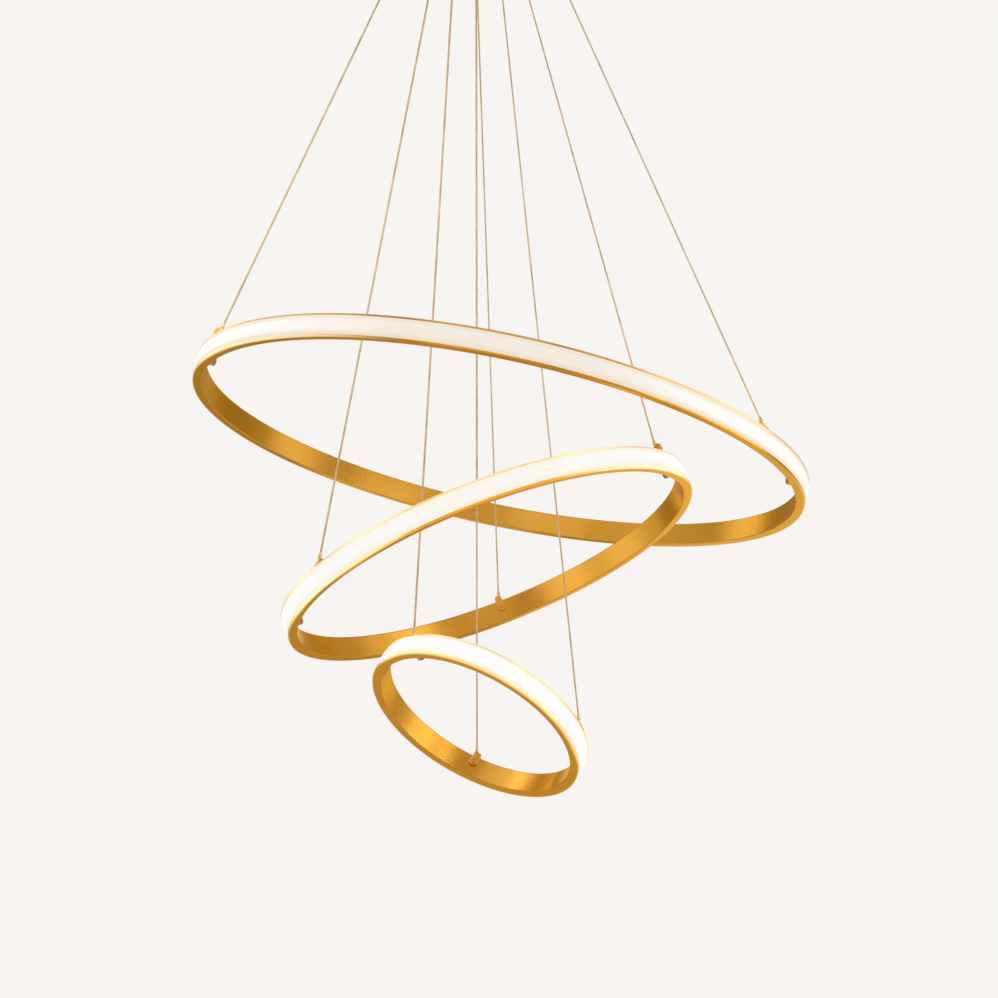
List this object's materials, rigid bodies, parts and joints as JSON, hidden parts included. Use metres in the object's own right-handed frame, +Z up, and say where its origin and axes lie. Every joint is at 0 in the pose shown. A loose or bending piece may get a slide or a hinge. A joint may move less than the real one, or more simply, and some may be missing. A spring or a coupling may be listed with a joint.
{
  "type": "led ring chandelier",
  "caption": "Tiered ceiling pendant: lit rings of gold channel with white outward-facing diffusers, tilted different ways, hung on thin cables from a round canopy with cable grips.",
  "frame": {"origin": "on the ceiling plane, at the centre of the canopy and between the two slots of its crossbar", "axes": "+Z up, through the middle of the canopy; +X to the right and +Y away from the viewer of the picture, with the slots of the crossbar along X"},
  "size_m": [0.592, 0.6016, 0.9325],
  "materials": {
    "ring_gold": "brushed and gold anodised",
    "canopy_gold": "satin gold lacquer on spun steel",
    "bar_steel": "zinc plated",
    "driver_plastic": "fine moulded grain",
    "terminal_plastic": "moulded",
    "fitting_brass": "polished, gold plated",
    "diffuser_silicone": "translucent satin white, lit from inside",
    "board_white": "white solder mask",
    "phosphor": "soft yellow phosphor gel",
    "bush_plastic": "smooth moulded",
    "cable_steel": "stranded, with a thin clear gold sheath"
  },
  "bodies": {
    "canopy": {"canopy_shell": "canopy_gold", "ceiling_crossbar": "bar_steel", "canopy_side_screws": "fitting_brass", "led_driver": "driver_plastic", "driver_screws": "bar_steel", "terminal_block": "terminal_plastic", "cable_grip_bodies": "fitting_brass", "cable_grip_nuts": "fitting_brass"},
    "ring_1": {"ring_1_channel": "ring_gold", "ring_1_diffuser": "diffuser_silicone", "ring_1_light_board": "board_white", "ring_1_phosphor_bead": "phosphor", "ring_1_hanger_clasps": "fitting_brass", "ring_1_clasp_screws": "fitting_brass", "ring_1_lead_bushes": "bush_plastic", "ring_1_cable_ends": "fitting_brass", "ring_1_left_cable": "cable_steel", "ring_1_right_cable": "cable_steel", "ring_1_far_cable": "cable_steel"},
    "ring_2": {"ring_2_channel": "ring_gold", "ring_2_diffuser": "diffuser_silicone", "ring_2_light_board": "board_white", "ring_2_phosphor_bead": "phosphor", "ring_2_hanger_clasps": "fitting_brass", "ring_2_clasp_screws": "fitting_brass", "ring_2_lead_bushes": "bush_plastic", "ring_2_cable_ends": "fitting_brass", "ring_2_left_cable": "cable_steel", "ring_2_right_cable": "cable_steel", "ring_2_far_cable": "cable_steel"},
    "ring_3": {"ring_3_channel": "ring_gold", "ring_3_diffuser": "diffuser_silicone", "ring_3_light_board": "board_white", "ring_3_phosphor_bead": "phosphor", "ring_3_hanger_clasps": "fitting_brass", "ring_3_clasp_screws": "fitting_brass", "ring_3_lead_bushes": "bush_plastic", "ring_3_cable_ends": "fitting_brass", "ring_3_left_cable": "cable_steel", "ring_3_right_cable": "cable_steel", "ring_3_far_cable": "cable_steel"},
    "ring_1_left_release": {"ring_1_left_grip_plunger": "fitting_brass"},
    "ring_1_right_release": {"ring_1_right_grip_plunger": "fitting_brass"},
    "ring_1_far_release": {"ring_1_far_grip_plunger": "fitting_brass"},
    "ring_2_left_release": {"ring_2_left_grip_plunger": "fitting_brass"},
    "ring_2_right_release": {"ring_2_right_grip_plunger": "fitting_brass"},
    "ring_2_far_release": {"ring_2_far_grip_plunger": "fitting_brass"},
    "ring_3_left_release": {"ring_3_left_grip_plunger": "fitting_brass"},
    "ring_3_right_release": {"ring_3_right_grip_plunger": "fitting_brass"},
    "ring_3_far_release": {"ring_3_far_grip_plunger": "fitting_brass"}
  },
  "joints": [
    {"name": "ring_1_height", "type": "slide", "parent": "canopy", "child": "ring_1", "axis": [0, 0, 1], "range_m": [-0.06, 0.2], "deforming": ["ring_1_left_cable", "ring_1_right_cable", "ring_1_far_cable"]},
    {"name": "ring_2_height", "type": "slide", "parent": "canopy", "child": "ring_2", "axis": [0, 0, 1], "range_m": [-0.1, 0.12], "deforming": ["ring_2_left_cable", "ring_2_right_cable", "ring_2_far_cable"]},
    {"name": "ring_3_height", "type": "slide", "parent": "canopy", "child": "ring_3", "axis": [0, 0, 1], "range_m": [-0.12, 0.12], "deforming": ["ring_3_left_cable", "ring_3_right_cable", "ring_3_far_cable"]},
    {"name": "ring_1_left_release_push", "type": "slide", "parent": "canopy", "child": "ring_1_left_release", "axis": [0, 0, 1], "range_m": [0, 0.0025], "stiffness_N_per_m": 120, "springref_m": -0.003},
    {"name": "ring_1_right_release_push", "type": "slide", "parent": "canopy", "child": "ring_1_right_release", "axis": [0, 0, 1], "range_m": [0, 0.0025], "stiffness_N_per_m": 120, "springref_m": -0.003},
    {"name": "ring_1_far_release_push", "type": "slide", "parent": "canopy", "child": "ring_1_far_release", "axis": [0, 0, 1], "range_m": [0, 0.0025], "stiffness_N_per_m": 120, "springref_m": -0.003},
    {"name": "ring_2_left_release_push", "type": "slide", "parent": "canopy", "child": "ring_2_left_release", "axis": [0, 0, 1], "range_m": [0, 0.0025], "stiffness_N_per_m": 120, "springref_m": -0.003},
    {"name": "ring_2_right_release_push", "type": "slide", "parent": "canopy", "child": "ring_2_right_release", "axis": [0, 0, 1], "range_m": [0, 0.0025], "stiffness_N_per_m": 120, "springref_m": -0.003},
    {"name": "ring_2_far_release_push", "type": "slide", "parent": "canopy", "child": "ring_2_far_release", "axis": [0, 0, 1], "range_m": [0, 0.0025], "stiffness_N_per_m": 120, "springref_m": -0.003},
    {"name": "ring_3_left_release_push", "type": "slide", "parent": "canopy", "child": "ring_3_left_release", "axis": [0, 0, 1], "range_m": [0, 0.0025], "stiffness_N_per_m": 120, "springref_m": -0.003},
    {"name": "ring_3_right_release_push", "type": "slide", "parent": "canopy", "child": "ring_3_right_release", "axis": [0, 0, 1], "range_m": [0, 0.0025], "stiffness_N_per_m": 120, "springref_m": -0.003},
    {"name": "ring_3_far_release_push", "type": "slide", "parent": "canopy", "child": "ring_3_far_release", "axis": [0, 0, 1], "range_m": [0, 0.0025], "stiffness_N_per_m": 120, "springref_m": -0.003}
  ]
}
